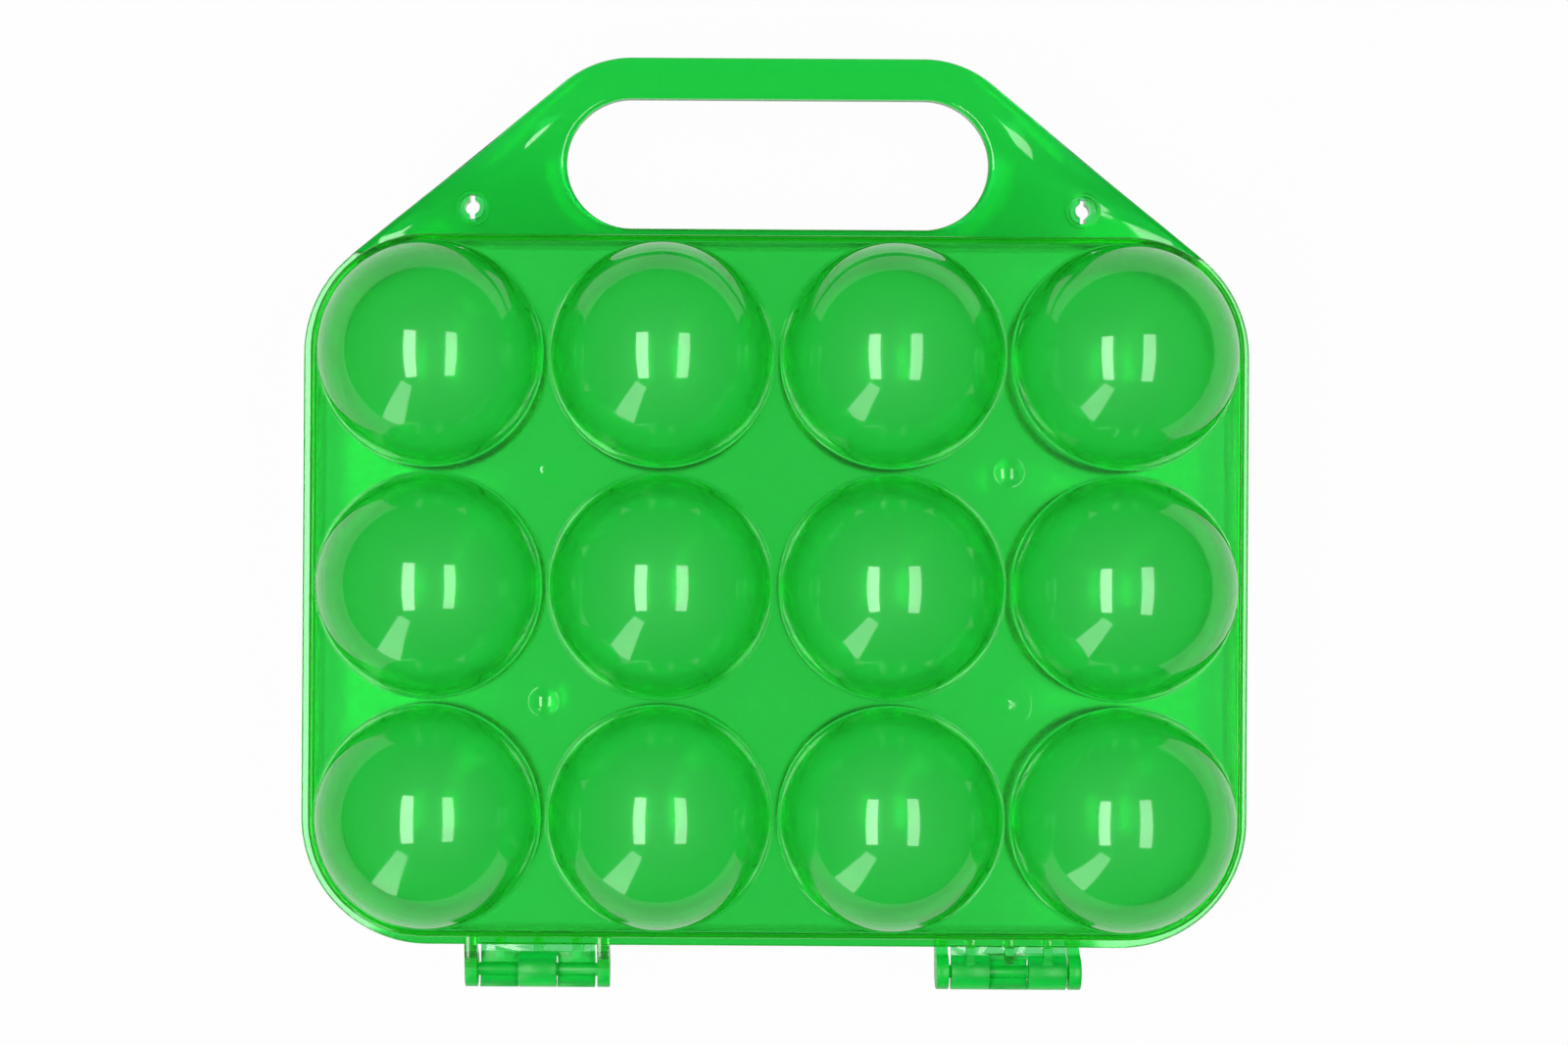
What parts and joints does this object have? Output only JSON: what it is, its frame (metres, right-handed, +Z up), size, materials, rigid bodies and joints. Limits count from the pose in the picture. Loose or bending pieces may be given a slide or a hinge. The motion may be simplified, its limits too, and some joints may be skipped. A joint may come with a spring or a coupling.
{
  "type": "egg keeper",
  "caption": "Egg keeper with a flip lid: hinged half shells with a grid of domed cups, a flat carry handle with a long opening, and split prongs that snap the halves shut.",
  "frame": {"origin": "on the surface that the closed keeper stands on, under the middle of its outer box", "axes": "+Z up through the lid, +Y towards the carry handle, +X along the hinge axis, to the right when the handle points away from the viewer who looks down on the lid"},
  "size_m": [0.215, 0.2118, 0.07],
  "materials": {
    "base_plastic": "smooth, glossy, tinted translucent green",
    "lid_plastic": "smooth, glossy, tinted translucent green"
  },
  "bodies": {
    "base": {"base_cup_row1_1": "base_plastic", "base_cup_row1_2": "base_plastic", "base_cup_row1_3": "base_plastic", "base_cup_row1_4": "base_plastic", "base_cup_row2_1": "base_plastic", "base_cup_row2_2": "base_plastic", "base_cup_row2_3": "base_plastic", "base_cup_row2_4": "base_plastic", "base_cup_row3_1": "base_plastic", "base_cup_row3_2": "base_plastic", "base_cup_row3_3": "base_plastic", "base_cup_row3_4": "base_plastic", "base_deck": "base_plastic", "base_handle": "base_plastic", "base_hinge_braces": "base_plastic", "base_hinge_ears": "base_plastic", "base_hinge_hooks": "base_plastic", "base_hinge_plate": "base_plastic", "base_hinge_rod": "base_plastic", "base_rim": "base_plastic", "base_snap_prongs": "base_plastic", "base_snap_socket": "base_plastic"},
    "lid": {"lid_cup_row1_1": "lid_plastic", "lid_cup_row1_2": "lid_plastic", "lid_cup_row1_3": "lid_plastic", "lid_cup_row1_4": "lid_plastic", "lid_cup_row2_1": "lid_plastic", "lid_cup_row2_2": "lid_plastic", "lid_cup_row2_3": "lid_plastic", "lid_cup_row2_4": "lid_plastic", "lid_cup_row3_1": "lid_plastic", "lid_cup_row3_2": "lid_plastic", "lid_cup_row3_3": "lid_plastic", "lid_cup_row3_4": "lid_plastic", "lid_deck": "lid_plastic", "lid_handle": "lid_plastic", "lid_hinge_braces": "lid_plastic", "lid_hinge_ears": "lid_plastic", "lid_hinge_hooks": "lid_plastic", "lid_hinge_plate": "lid_plastic", "lid_hinge_rod": "lid_plastic", "lid_rim": "lid_plastic", "lid_snap_prongs": "lid_plastic", "lid_snap_socket": "lid_plastic"}
  },
  "joints": [
    {"name": "lid_hinge", "type": "hinge", "parent": "base", "child": "lid", "pos_m": [0, -0.10182, 0.03502], "axis": [1, 0, 0], "range_deg": [0, 180]}
  ]
}
